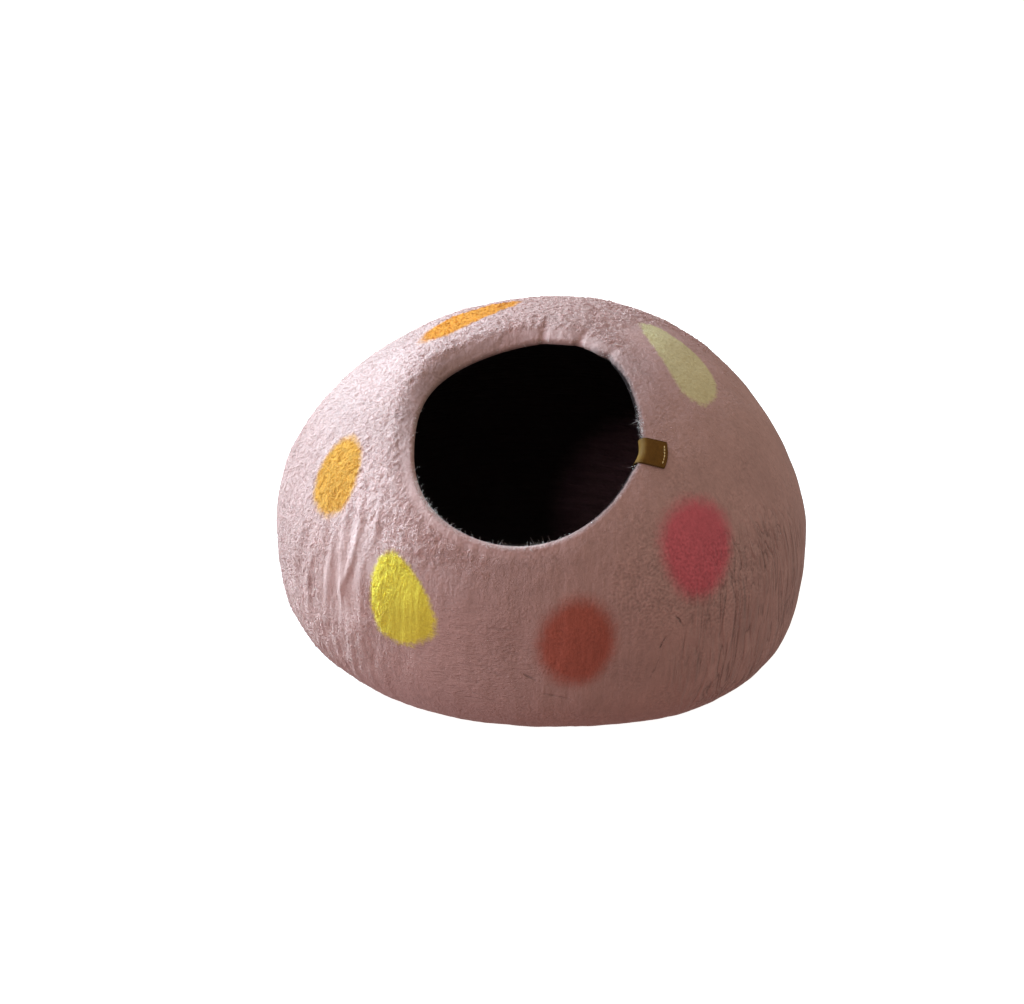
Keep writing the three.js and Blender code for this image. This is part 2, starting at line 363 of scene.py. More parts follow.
# The pile is nubbly on the upper left side of the pod and rubbed smooth on the lower right.
NUBBLY_SIDE = unit(np.array([-0.75, 0.1, 0.65]))
NUBBLY_FROM, NUBBLY_TO = -0.25, 0.35
# Smooth places on that side: azimuth, elevation, and the radius within which the felt is smooth
# and beyond which it is nubbly.
CALM_PLACES = [(-10, 1, 8, 14), (-31, 9, 3, 9), (-35, 0, 2, 9), (84, 56, 12, 18), (52, 53, 8, 15)]
# The rolled edge of the opening is smooth: least and most width, and the turn where it is widest.
SMOOTH_RIM = {"least": 2.0, "most": 5.0, "at": 115.0}
# Painted shade round the opening darkens the felt there: the turn and width of the place, the
# distances from the edge between which it starts, those between which it ends, and how much.
PAINTED_RIM_SHADE_PLACES = [
    (45, 38, (-2, -1), (8, 42), 1.0),
    (272, 38, (2, 10), (10, 75), 0.7),
    (150, 45, (-2, -1), (2, 16), 1.4),
]
# Upright flutes run down the felt here.
FLUTED_SIDE = direction_of(-55, -8)
FLUTED_FROM, FLUTED_TO = 0.75, 0.95
# Pebbly places: azimuth, elevation, and the radius of full pebbling and of any at all.
PEBBLED_PLACES = [(36, 10, 5, 15), (50, 7, 4, 13)]
# Small upright wrinkles gather here.
WRINKLED_SIDE = direction_of(63, -6)
WRINKLED_FROM, WRINKLED_TO = 0.87, 0.965
# Painted light and shade on the body's wool: paler high on the left and on the crest of the roll,
# where light
# falls, darker low on the left: azimuth, elevation, the radius of the full tone and of any at all,
# and the wool.
PAINTED_TONES = [
    (-60, 40, 10, 40, "painted_soft_light_body"),
    (-72, 6, 12, 28, "painted_shade_body"),
    (-66, 64, 3, 15, "painted_light_body"),
    (-56, 47, 3, 16, "painted_light_body"),
    (-34, 19, 4, 12, "painted_light_body"),
    (-25, 13, 4, 11, "painted_light_body"),
]
# Here the pile was combed level.
LEVEL_SIDE = direction_of(-2, -7)
LEVEL_FROM, LEVEL_TO = 0.962, 0.99

# The wool's fine sheen, and how much paler its curls are painted than the felt between them: painted
# light.
FELT_SHEEN, PILE_PAINTED_LIGHT = 0.08, 1.38
# The loose fibres' near white is painted light.
LOOSE_FIBRE_PAINTED_LIGHT, LEATHER, THREAD = (0.88, 0.8, 0.78), (0.142, 0.066, 0.009), (0.62, 0.44, 0.17)
# Painted shade on the right side of the opening's edge: the felt turns near black there.
EDGE_PAINTED_SHADE = (0.012, 0.006, 0.006, 1)
# The inside is painted near black as painted shade, turning to plum here, low on the back wall, where
# light falls.
INSIDE_PAINTED_SHADE, PLUM_WOOL = (0.025, 0.017, 0.019, 1), (0.36, 0.21, 0.27, 1)
PLUM_SIDE = direction_of(156, -22)
PLUM_FROM, PLUM_TO = 0.84, 0.97

# -------- noise


def noise(points, size, seed=0):
    """Smooth noise between about -1 and 1, with features of that size in millimetres."""
    gradients = unit(np.random.default_rng(seed).normal(size=(256, 3)))
    place = points / size + 31.7 * seed
    cell = np.floor(place).astype(np.int64)
    inside = place - cell
    fade = inside**3 * (inside * (inside * 6 - 15) + 10)
    total = 0
    for corner in itertools.product((0, 1), repeat=3):
        corner = np.array(corner)
        x, y, z = np.moveaxis(cell + corner, -1, 0)
        key = (x * 73856093 ^ y * 19349663 ^ z * 83492791) & 255
        weight = np.prod(np.where(corner == 1, fade, 1 - fade), axis=-1)
        total = total + weight * dot(gradients[key], inside - corner)
    return 1.6 * total


def nubbly(direction):
    share = smooth_step(NUBBLY_FROM, NUBBLY_TO, direction @ NUBBLY_SIDE)
    for azimuth, elevation, inner, outer in CALM_PLACES:
        towards = direction @ direction_of(azimuth, elevation)
        calm = smooth_step(cos_of(outer), cos_of(inner), towards)
        share = share * (1 - 0.85 * calm)
    turn, away = from_edge(direction)
    rolled = (1 + np.cos(np.radians(turn - SMOOTH_RIM["at"]))) / 2
    width = SMOOTH_RIM["least"] + (SMOOTH_RIM["most"] - SMOOTH_RIM["least"]) * rolled**1.5
    return share * smooth_step(width, width + 7, away)


def painted_rim_shade(direction):
    """How much painted shade darkens the felt round the opening."""
    turn, away = from_edge(direction)
    rim_shade = 0
    for at, width, start, end, amount in PAINTED_RIM_SHADE_PLACES:
        here = smooth_step(*start, away) * (1 - smooth_step(*end, away))
        rim_shade = rim_shade + amount * bell(turns_apart(turn, at), width) * here
    return rim_shade


def relief(points, direction):
    """How far the felt's surface stands out of the smooth skin, in millimetres."""
    rough = nubbly(direction)
    sway = np.stack([noise(points, 9, seed) for seed in (11, 12, 13)], axis=-1)
    broad = 0.9 * noise(points, 55, 1) + 0.5 * noise(points, 24, 2)
    tall = points * [1.0, 1.0, 0.6]
    curls = 1 - 2 * np.abs(noise(tall + 2.5 * sway, 7.5, 3))
    nubs = noise(tall + 2.0 * sway, 5.5, 4)
    azimuth = azimuth_of(direction)
    wall = np.stack([azimuth * 3.2, points[..., 2] / 7 + 0.1 * azimuth, 0 * azimuth], axis=-1)
    streaks = noise(wall + 0.35 * sway, 8, 5)
    fluted = smooth_step(FLUTED_FROM, FLUTED_TO, direction @ FLUTED_SIDE)
    streaks = streaks * (0.3 + 0.6 * fluted)
    return broad + rough * (0.55 * curls + 0.5 * nubs) + streaks + 0.12 * nubs


# -------- meshes


def put_in_scene(name, data):
    thing = bpy.data.objects.new(name, data)
    bpy.context.scene.collection.objects.link(thing)
    return thing


def new_object(name, vertices, faces, materials):
    """A smooth mesh in the scene. Each table of faces holds faces with equally many corners."""
    mesh = bpy.data.meshes.new(name)
    mesh.from_pydata(vertices, [], [face for table in faces for face in np.array(table).tolist()])
    mesh.shade_smooth()
    mesh.validate()
    for material in materials:
        mesh.materials.append(material)
    return put_in_scene(name, mesh)


def tube_faces(rings, count):
    """The faces of a tube of rings, whose last two vertices close its start and its end."""
    here = np.arange(rings * count).reshape(rings, count)
    after = np.roll(here, -1, axis=1)
    quads = np.stack([here[:-1], after[:-1], after[1:], here[1:]], -1).reshape(-1, 4)
    start = np.stack([after[0], here[0], np.full(count, rings * count)], -1)
    end = np.stack([here[-1], after[-1], np.full(count, rings * count + 1)], -1)
    return [quads, np.concatenate([start, end])]


def shift_to_frame():
    """The part's source centres its box over the origin, and this is how far that moves it."""
    low, high = (np.array(v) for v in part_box("shell"))
    turn, foot = column_starts()
    parts = np.linspace(0, 1, 60)
    wall = [skin_points(column_directions(turn, foot, part), with_ridges=True) for part in parts]
    wall = np.concatenate(wall)
    middle = (wall.min(0) + wall.max(0)) / 2
    shift = (low + high) / 2 / MM - middle
    return np.array([shift[0], shift[1], 0.0])


SHIFT = shift_to_frame()


def placed(points):
    return (points + SHIFT) * MM


def outer_skin(direction):
    points = skin_points(direction, with_ridges=True)
    flat = smooth_step(0, 6, points[..., 2])
    lifted = relief(points, direction) * flat
    return points + skin_normals(direction) * lifted[..., None]


def add_attribute(thing, name, first, rings):
    """Gives the mesh a value at each vertex: these rings' values from that vertex on, else 0."""
    values = np.zeros(len(thing.data.vertices), np.float32)
    rings = np.concatenate(rings)
    values[first : first + len(rings)] = rings
    thing.data.attributes.new(name, "FLOAT", "POINT").data.foreach_set("value", values)


def make_shell(outside, inside):
    """The whole pod as one closed mesh. Its rings run from the middle of the foot up the outside,
    over the opening's edge and down the inside to the middle of the floor."""
    turn, foot = column_starts()
    count = len(turn)
    rows = row_directions(turn, foot, OUTER_ROWS)
    outer = [outer_skin(row) for row in rows]
    inner_rows = row_directions(turn, foot, INNER_ROWS)
    inner = [skin_points(row) - WALL * skin_normals(row) for row in inner_rows]
    facing = edge_facing(turn)
    middle = (outer[0] + inner[0]) / 2
    lip = []
    for step in range(1, LIP_STEPS):
        angle = math.pi * step / LIP_STEPS
        bulge = 0.5 * WALL * math.sin(angle) * facing
        lip.append(middle + (outer[0] - middle) * math.cos(angle) + bulge)
    floor_out = [outer[-1] * [s, s, 1] for s in (0.33, 0.66)]
    floor_in = [inner[-1] * [s, s, 1] for s in (0.66, 0.33)]
    rings = floor_out + outer[::-1] + lip + inner + floor_in
    vertices = np.concatenate(rings + [np.array([[0, 0, 0], [0, 0, WALL]])])
    faces = tube_faces(len(rings), count)
    shell = new_object("felt_shell", placed(vertices), faces, [outside, inside])
    first_outer = len(floor_out) * count
    first_lip = first_outer + (OUTER_ROWS + 1) * count
    slots = np.zeros(len(shell.data.polygons), np.int32)
    slots[first_lip + (LIP_STEPS // 2 + 1) * count : len(faces[0])] = 1
    slots[len(faces[0]) + count :] = 1
    shell.data.polygons.foreach_set("material_index", slots)
    # These shares carry painted shade into the felt's material: round the opening, and on the right
    # side of its edge.
    right = np.clip(2 * np.cos(np.radians(turn)) - 0.6, 0, 1)
    over = np.arange(1, LIP_STEPS) * 2 / LIP_STEPS
    for name, share in (("nubbly", nubbly), ("painted_rim_shade", painted_rim_shade)):
        shares = [share(row) for row in rows]
        add_attribute(shell, name, first_outer, shares[::-1] + [shares[0]] * len(lip))
    add_attribute(shell, "edge", first_lip, np.outer(over, right))
    return shell


# -------- material tools

# How far each seed moves a noise, in its features' sizes.
NOISE_SHIFT = (37.7, 11.3, 5.9)


class Graph:
    """Adds nodes to a tree. An input is a socket to link or a plain value."""

    def __init__(self, tree):
        self.tree = tree

    def node(self, kind, inputs=(), **settings):
        node = self.tree.nodes.new("ShaderNode" + kind)
        for name, value in settings.items():
            setattr(node, name, value)
        for key, value in dict(inputs).items():
            if isinstance(value, bpy.types.NodeSocket):
                self.tree.links.new(value, node.inputs[key])
            else:
                node.inputs[key].default_value = value
        return node

    def math(self, operation, *values):
        return self.node("Math", enumerate(values), operation=operation).outputs[0]

    def vector(self, operation, *values):
        node = self.node("VectorMath", enumerate(values), operation=operation)
        return node.outputs["Value" if operation in ("DOT_PRODUCT", "LENGTH") else "Vector"]

    def scaled(self, vector, factor):
        inputs = {"Vector": vector, "Scale": factor}
        return self.node("VectorMath", inputs, operation="SCALE").outputs["Vector"]

    def product(self, *values):
        return functools.reduce(lambda a, b: self.math("MULTIPLY", a, b), values)

    def total(self, *terms):
        """The sum of the terms. One in brackets is the product of what the brackets hold."""
        values = [self.product(*term) if isinstance(term, tuple) else term for term in terms]
        return functools.reduce(lambda a, b: self.math("ADD", a, b), values)

    def line(self, value, factor, start):
        """The value times the factor, plus the start."""
        return self.math("MULTIPLY_ADD", value, factor, start)

    def step(self, value, low, high, start=0.0, end=1.0):
        inputs = {"Value": value, "From Min": low, "From Max": high, "To Min": start, "To Max": end}
        return self.node("MapRange", inputs, interpolation_type="SMOOTHSTEP").outputs["Result"]

    def noise(self, place, size, seed=0, detail=1.0, distortion=0.0):
        """Noise from about -1 to 1, with features of that size in millimetres."""
        moved = self.vector("ADD", place, tuple(v * seed * size for v in NOISE_SHIFT))
        inputs = {"Vector": moved, "Scale": 1 / size, "Detail": detail, "Distortion": distortion}
        return self.line(self.node("TexNoise", inputs).outputs["Fac"], 4.0, -2.0)

    def crest(self, noise, sharpness):
        """1 along the middle lines of a noise, falling to 0 beside them."""
        apart = self.math("MULTIPLY", self.math("ABSOLUTE", noise), sharpness)
        return self.step(apart, 0.0, 1.0, 1.0, 0.0)

    def mix(self, share, one, other):
        return self.node("Mix", {0: share, 6: one, 7: other}, data_type="RGBA").outputs[2]

    def attribute(self, name):
        return self.node("Attribute", attribute_name=name).outputs["Fac"]

    def colour(self, rgb):
        socket = self.node("RGB").outputs[0]
        socket.default_value = (*rgb, 1)
        return socket


def new_material(name, roughness, specular=0.5, sheen=0.0, sheen_roughness=0.5, tint=(1, 1, 1)):
    """The graph of a new material whose shader's plain values are set."""
    material = bpy.data.materials.new(name)
    material.use_nodes = True
    graph = Graph(material.node_tree)
    graph.material = material
    graph.shader = graph.tree.nodes["Principled BSDF"].inputs
    graph.shader["Roughness"].default_value = roughness
    graph.shader["Specular IOR Level"].default_value = specular
    graph.shader["Sheen Weight"].default_value = sheen
    graph.shader["Sheen Roughness"].default_value = sheen_roughness
    graph.shader["Sheen Tint"].default_value = (*tint, 1)
    return graph


def finished(graph, colour, height):
    """The graph's material, fed a colour and a height in millimetres, drawn as bump."""
    graph.tree.links.new(colour, graph.shader["Base Color"])
    bump = graph.node("Bump", {"Height": height, "Distance": MM})
    graph.tree.links.new(bump.outputs["Normal"], graph.shader["Normal"])
    return graph.material


def pod_place(graph):
    """The place on the pod in millimetres, from the axes that its tables use."""
    coordinates = graph.node("TexCoord").outputs["Object"]
    return graph.vector("MULTIPLY_ADD", coordinates, (1 / MM,) * 3, tuple(-SHIFT))


def side_share(graph, place, side, low, high):
    """How much a place belongs to one side of the pod, seen from its heart."""
    outwards = graph.vector("NORMALIZE", graph.vector("SUBTRACT", place, (0, 0, HEART_HEIGHT)))
    towards = graph.vector("DOT_PRODUCT", outwards, tuple(side))
    return graph.step(towards, low, high)


def round_share(graph, place, azimuth, elevation, inner, outer):
    """1 within the inner radius of a round place on the pod, falling to 0 at the outer one."""
    side = direction_of(azimuth, elevation)
    return side_share(graph, place, side, cos_of(outer), cos_of(inner))


def new_group(name, result, **inputs):
    """A group with these inputs by kind and one result: its graph, what is given and the result."""
    tree = bpy.data.node_groups.new(name, "ShaderNodeTree")
    for kind, labels in inputs.items():
        for label in labels.split():
            tree.interface.new_socket(name=label, socket_type=f"NodeSocket{kind}")
    tree.interface.new_socket(name=name, in_out="OUTPUT", socket_type=f"NodeSocket{result}")
    start = tree.nodes.new("NodeGroupInput")
    end = tree.nodes.new("NodeGroupOutput")
    return Graph(tree), start.outputs, end.inputs[0]


@functools.cache
def spot_group():
    """Lays one spot of coloured wool over what is under it."""
    graph, given, result = new_group(
        "wool_spot",
        "Color",
        Vector="place middle along across facing",
        Float="wobble taper bend softness",
        Color="under wool",
    )
    apart = graph.vector("SUBTRACT", given["place"], given["middle"])
    along = graph.vector("DOT_PRODUCT", apart, given["along"])
    across = graph.vector("DOT_PRODUCT", apart, given["across"])
    narrowed = graph.product(across, graph.line(along, given["taper"], 1.0))
    bent = graph.math("SUBTRACT", narrowed, graph.product(along, along, given["bend"]))
    round_edge = graph.node("CombineXYZ", {0: along, 1: bent}).outputs[0]
    away = graph.math("ADD", graph.vector("LENGTH", round_edge), given["wobble"])
    inner = graph.math("SUBTRACT", 1.0, given["softness"])
    outer = graph.math("ADD", 1.0, given["softness"])
    cover = graph.step(away, inner, outer, 1.0, 0.0)
    facing = graph.vector("DOT_PRODUCT", apart, given["facing"])
    near = graph.math("GREATER_THAN", facing, -SPOT_DEPTH)
    colour = graph.mix(graph.product(cover, near), given["under"], given["wool"])
    graph.tree.links.new(colour, result)
    return graph.tree


@functools.cache
def crease_group():
    """1 along a line from one point to another, falling to 0 at its width and its ends."""
    vectors = "place start line measure"
    graph, given, result = new_group("crease", "Float", Vector=vectors, Float="width")
    apart = graph.vector("SUBTRACT", given["place"], given["start"])
    along = graph.vector("DOT_PRODUCT", apart, given["measure"])
    foot = graph.node("VectorMath", {0: given["line"], "Scale": along}, operation="SCALE")
    off = graph.vector("LENGTH", graph.vector("SUBTRACT", apart, foot.outputs["Vector"]))
    thin = graph.step(off, 0.0, given["width"], 1.0, 0.0)
    ends = graph.product(graph.step(along, 0.0, 0.35), graph.step(along, 0.65, 1.0, 1.0, 0.0))
    graph.tree.links.new(graph.product(thin, ends), result)
    return graph.tree


def spot_inputs(azimuth, elevation, lean, length, width):
    """Where a spot's middle lies on the skin, and its long and short axis there."""
    direction = direction_of(azimuth, elevation)[None]
    middle, facing = skin_points(direction)[0], skin_normals(direction)[0]
    east, north = compass(facing)
    turn = math.radians(lean)
    along = (math.cos(turn) * north + math.sin(turn) * east) / (length / 2)
    across = (math.cos(turn) * east - math.sin(turn) * north) / (width / 2)
    places = {"middle": middle, "along": along, "across": across, "facing": facing}
    return {name: tuple(vector) for name, vector in places.items()}


def wool_colour(graph, place):
    """The body's wool with its painted light and shade and its spots."""
    wide, fine = graph.noise(place, 16, 21), graph.noise(place, 3.0, 22, 2.0)
    wobble = graph.total((wide, 0.035), (fine, 0.045))
    colour = graph.colour(WOOLS["body"])
    for *where, wool in PAINTED_TONES:
        colour = graph.mix(round_share(graph, place, *where), colour, (*WOOLS[wool], 1))
    for *where, taper, bend, softness, wool in SPOTS:
        inputs = dict(place=place, wobble=wobble, under=colour, wool=(*WOOLS[wool], 1))
        inputs.update(spot_inputs(*where), taper=taper, bend=bend, softness=softness)
        colour = graph.node("Group", inputs, node_tree=spot_group()).outputs[0]
    return colour


def creases(graph, place):
    """How deep the felt is pressed in by its fine creases."""
    wander = graph.node("TexNoise", {"Vector": graph.scaled(place, 0.2), "Scale": 1.0})
    shaken = graph.vector("MULTIPLY_ADD", wander.outputs["Color"], (CREASE_WANDER,) * 3, place)
    shaken = graph.vector("SUBTRACT", shaken, (CREASE_WANDER / 2,) * 3)
    depths = []
    for azimuth, elevation, far_azimuth, far_elevation, depth, width in CREASES:
        ends = direction_of([azimuth, far_azimuth], [elevation, far_elevation])
        start, end = skin_points(ends)
        line = end - start
        inputs = dict(place=shaken, start=tuple(start), line=tuple(line), width=width)
        inputs["measure"] = tuple(line / dot(line, line))
        node = graph.node("Group", inputs, node_tree=crease_group())
        depths.append(graph.product(node.outputs[0], depth))
    return functools.reduce(lambda a, b: graph.math("MAXIMUM", a, b), depths)


# -------- materials


def felt_material():
    """The outside felt: wool colours, curly nubs, upright streaks, pebbling, wrinkles, creases,
    painted light and shade.
    """
    graph = new_material("felt", 1.0, 0.12, FELT_SHEEN, 0.6, (1.0, 0.92, 0.9))
    place = pod_place(graph)
    rough = graph.attribute("nubbly")
    wrinkled = side_share(graph, place, WRINKLED_SIDE, WRINKLED_FROM, WRINKLED_TO)
    upright = graph.vector("MULTIPLY", place, (1.0, 1.0, 0.2))
    curls = graph.crest(graph.noise(place, 3.0, 1, 1.5, 1.6), 1.5)
    nubs = graph.noise(place, 1.6, 2, 1.0, 0.6)
    fibre = graph.noise(place, 0.9, 3, 2.0, 1.0)
    combed = side_share(graph, place, LEVEL_SIDE, LEVEL_FROM, LEVEL_TO)
    streaks = graph.product(graph.noise(upright, 4.0, 4, 2.0, 0.4), graph.line(combed, -0.8, 1.0))
    level = graph.vector("MULTIPLY", place, (0.34, 0.34, 1.0))
    level = graph.product(graph.noise(level, 2.4, 12, 1.5, 0.9), graph.line(combed, 0.9, 0.1))
    pebbled = graph.math("MULTIPLY", graph.step(graph.noise(place, 30, 10, 1.0), -0.25, 0.7), 0.5)
    for where in PEBBLED_PLACES:
        pebbled = graph.math("MAXIMUM", pebbled, round_share(graph, place, *where))
    pebbles = graph.product(graph.noise(place, 2.3, 9, 0.0), graph.line(pebbled, 0.85, 0.15))
    folds = graph.noise(graph.vector("MULTIPLY", place, (1.0, 1.0, 0.13)), 8.0, 5, 1.0, 0.5)
    uneven = graph.step(graph.noise(place, 19, 7), -0.45, 0.5)
    pressed = creases(graph, place)
    broad = graph.noise(place, 45, 6, 2.0)
    height = graph.total(
        (curls, graph.line(rough, 0.42, 0.03)),
        (nubs, graph.line(rough, 0.12, 0.05)),
        (fibre, graph.line(rough, 0.05, 0.035)),
        (streaks, 0.2),
        (pebbles, 0.22),
        (level, 0.3),
        (graph.math("ABSOLUTE", folds), wrinkled, 2.4),
        (pressed, -1.2),
    )
    # Painted light and shade: curl crests lighter and their gaps darker, the nubbly side paler, and
    # pebbles, wrinkles and creases darker in their hollows. The broad, fibre and streak terms are the
    # wool's own tone.
    shade = graph.total(
        1.0,
        (broad, 0.07),
        (fibre, 0.07),
        (streaks, 0.08),
        (pebbles, 0.16),
        (level, 0.11),
        (graph.math("SUBTRACT", curls, 0.5), rough, 0.18),
        (rough, 0.08),
        (graph.crest(folds, 5.0), wrinkled, uneven, -0.38),
        (folds, wrinkled, 0.1),
        (pressed, -0.5),
    )
    # Painted shade on the right side of the opening's edge: the felt darkens, then turns near black
    # without sheen.
    edge = graph.line(graph.noise(place, 5, 11, 2.0), 0.08, graph.attribute("edge"))
    painted_lip_shade = graph.step(edge, 0.0, 0.35, 0.0, -0.42)
    # Painted shade round the opening darkens the felt.
    shade = graph.total(shade, (graph.attribute("painted_rim_shade"), -0.2), painted_lip_shade)
    colour = graph.scaled(wool_colour(graph, place), shade)
    painted_edge_shade = graph.step(edge, 0.38, 0.75)
    sheen = graph.line(painted_edge_shade, -FELT_SHEEN, FELT_SHEEN)
    graph.tree.links.new(sheen, graph.shader["Sheen Weight"])
    return finished(graph, graph.mix(painted_edge_shade, colour, EDGE_PAINTED_SHADE), height)


def pile_material():
    """The curls of wool that stand out of the felt: the same colours, painted paler as painted light.
    """
    graph = new_material("felt_pile", 1.0, 0.12, 0.12, 0.5, (1.0, 0.95, 0.95))
    place = pod_place(graph)
    fibre = graph.noise(place, 0.8, 3, 1.0, 0.8)
    patches = graph.noise(place, 7.0, 8)
    shade = graph.total(PILE_PAINTED_LIGHT, (fibre, 0.12), (patches, 0.07))
    colour = graph.scaled(wool_colour(graph, place), shade)
    return finished(graph, colour, graph.product(fibre, 0.12))


def loose_fibre_material():
    """The loose fibres on the opening's edge: painted near white, painted light where the edge is in
    shade.
    """
    graph = new_material("loose_fibre", 0.9, 0.5, 0.3, 0.4)
    fibre = graph.noise(pod_place(graph), 0.8, 3, 1.0, 0.8)
    colour = graph.scaled(graph.colour(LOOSE_FIBRE_PAINTED_LIGHT), graph.line(fibre, 0.06, 1.0))
    return finished(graph, colour, graph.product(fibre, 0.05))


def inside_material():
    """The felt inside, with level wrinkles: near black as painted shade, plum low on the back wall
    where light falls.
    """
    graph = new_material("felt_inside", 0.95, 0.5, 0.05, 0.6)
    place = pod_place(graph)
    level = graph.vector("MULTIPLY", place, (0.13, 0.13, 1.0))
    wrinkles = graph.noise(level, 5.5, 1, 2.0, 0.5)
    fibre = graph.noise(place, 1.2, 2, 2.0, 1.0)
    broad = graph.noise(place, 30, 3, 1.0)
    height = graph.total((wrinkles, 0.8), (fibre, 0.12))
    # The wrinkles are also painted lighter on their crests and darker between them: painted shade.
    shade = graph.total(1.0, (wrinkles, 0.22), (fibre, 0.1), (broad, 0.15))
    plum = side_share(graph, place, PLUM_SIDE, PLUM_FROM, PLUM_TO)
    colour = graph.mix(plum, INSIDE_PAINTED_SHADE, PLUM_WOOL)
    return finished(graph, graph.scaled(colour, shade), height)


def leather_material():
    """Oiled brown leather: pebbled grain, paler rubbed spots and dark cut edges."""
    graph = new_material("leather", 0.6, 0.1)
    place = pod_place(graph)
    strip = graph.node("UVMap", uv_map="strip").outputs["UV"]
    across = graph.math("ABSOLUTE", graph.node("SeparateXYZ", {0: strip}).outputs[0])
    cells = {"Vector": place, "Scale": 1.5}
    grain = graph.node("TexVoronoi", cells, feature="DISTANCE_TO_EDGE")
    pebble = graph.step(grain.outputs["Distance"], 0.0, 0.25)
    mottle = graph.noise(place, 6.0, 1, 3.0)
    rubbed = graph.vector("MULTIPLY", place, (1.0, 0.3, 1.0))
    scuffs = graph.crest(graph.noise(rubbed, 4.0, 2, 2.0), 4.0)
    edge = graph.step(across, 0.86, 1.0)
    shade = graph.total(0.92, (mottle, 0.14), (pebble, 0.08), (scuffs, 0.07), (edge, -0.45))
    height = graph.total((pebble, 0.07), (mottle, 0.03))
    return finished(graph, graph.scaled(graph.colour(LEATHER), shade), height)


def thread_material():
    graph = new_material("thread", 0.6, 0.5, 0.3, 0.4)
    place = pod_place(graph)
    twist = graph.noise(graph.vector("MULTIPLY", place, (1.0, 2.2, 2.2)), 0.5, 1, 1.0)
    colour = graph.scaled(graph.colour(THREAD), graph.line(twist, 0.15, 1.0))
    return finished(graph, colour, graph.product(twist, 0.08))


def floor_material():
    """A pale studio floor, lit so evenly that it meets the backdrop without an edge."""
    graph = new_material("pale_floor", 0.9)
    graph.shader["Base Color"].default_value = (0.5, 0.5, 0.495, 1)
    graph.shader["Emission Color"].default_value = (1, 1, 0.99, 1)
    graph.shader["Emission Strength"].default_value = 0.97
    return graph.material


# -------- wool that stands out of the felt

CURLS = {
    "sites": 125000,
    "length": (2.4, 4.6),
    "thickness": (0.45, 0.75),
    "lift": (0.12, 0.45),
    "sunk": 0.35,
    "bend": 0.35,
    "lean": 0.2,
    "stray": 0.4,
    "points": 3,
    "sides": 3,
}
CURL_PIECES = 3
CURLS_EACH = 11000

FUZZ = {"count": 1300, "length": (0.9, 3.8), "thickness": (0.14, 0.26), "points": 6, "sides": 3}
# How likely a fibre is anywhere on the edge, and at these places: turn, width, and how much.
FUZZ_SHARE = 0.02
FUZZ_PLACES = [(238, 15, 0.9), (282, 14, 0.45), (10, 7, 0.35)]


def even_directions(count, rng):
    """Directions spread evenly over a sphere, each moved a little from its even place."""
    index = np.arange(count) + 0.5
    height = 1 - 2 * index / count
    angle = math.pi * (1 + math.sqrt(5)) * index
    level = np.sqrt(1 - height**2)
    even = np.stack([level * np.cos(angle), level * np.sin(angle), height], axis=-1)
    return unit(even + rng.normal(size=even.shape) * 0.45 * math.sqrt(4 * math.pi / count))


def curl_share(direction):
    """How likely a curl is at a place: thick on the nubbly side, none on the smooth felt."""
    points = skin_points(direction)
    patches = 0.75 + 0.25 * np.clip(1.5 * noise(points, 28, 6), -1, 1)
    above = smooth_step(10, 45, points[..., 2])
    return nubbly(direction) * patches * above


def tubes(centres, above, radii, sides):
    """Vertices and faces of thin closed strands, pointed at both ends. centres is strands x
    points x 3, radii is strands x points, and above is the way that is up across a strand."""
    strands, points = radii.shape
    along = unit(np.gradient(centres, axis=1))
    side_way = unit(np.cross(along, above))
    up_way = np.cross(side_way, along)
    angle = (2 * math.pi * np.arange(sides) / sides)[:, None]
    spokes = np.cos(angle) * side_way[:, :, None] + np.sin(angle) * up_way[:, :, None]
    ring = centres[:, :, None] + radii[:, :, None, None] * spokes
    first = 1.5 * centres[:, 0] - 0.5 * centres[:, 1]
    last = 1.5 * centres[:, -1] - 0.5 * centres[:, -2]
    vertices = np.concatenate([ring.reshape(strands, -1, 3), first[:, None], last[:, None]], axis=1)
    start = (np.arange(strands) * vertices.shape[1])[:, None, None]
    faces = [(each + start).reshape(-1, each.shape[1]) for each in tube_faces(points, sides)]
    return vertices.reshape(-1, 3), faces


def curl_strands(direction, rng):
    """Short curls lying on the felt, both ends sunk in it."""
    count = len(direction)
    size = 0.6 + 0.4 * nubbly(direction)
    roots = outer_skin(direction)
    normal = skin_normals(direction)
    east, north = compass(normal)
    stray = CURLS["stray"] + 2 * smooth_step(0.8, 0.95, normal[:, 2])
    heading = CURLS["lean"] + 0.4 * noise(roots, 45, 9) + stray * rng.normal(size=count)
    length = rng.uniform(*CURLS["length"], count) * size
    lift = rng.uniform(*CURLS["lift"], count) * size
    radius = rng.uniform(*CURLS["thickness"], count) * size / 2
    bend = rng.normal(0, CURLS["bend"], count)
    part = np.linspace(-0.5, 0.5, CURLS["points"])
    angle = heading[:, None] + bend[:, None] * 2 * part
    ahead = np.cos(angle)[..., None] * north[:, None] + np.sin(angle)[..., None] * east[:, None]
    run = ahead * (part * length[:, None])[..., None]
    arch = np.cos(math.pi * part * 0.92)
    rise = -CURLS["sunk"] + (lift[:, None] + CURLS["sunk"]) * arch
    centres = roots[:, None] + run + rise[..., None] * normal[:, None]
    radii = radius[:, None] * (0.55 + 0.45 * arch)
    return tubes(centres, normal[:, None], radii, CURLS["sides"])


def make_curls(material):
    rng = np.random.default_rng(7)
    direction = even_directions(CURLS["sites"], rng)
    turn, spread = mouth_angles(direction)
    outside = (spread > edge_spread(turn) + 0.3) & (direction[:, 2] > -0.75)
    direction = direction[outside]
    direction = direction[rng.random(len(direction)) < curl_share(direction)]
    order = np.argsort(np.arctan2(direction[:, 0], direction[:, 1]))
    pieces = []
    for number, part in enumerate(np.array_split(order, CURL_PIECES), 1):
        part = part[:CURLS_EACH]
        vertices, faces = curl_strands(direction[part], rng)
        pieces.append(new_object(f"felt_curls_{number}", placed(vertices), faces, [material]))
    return pieces


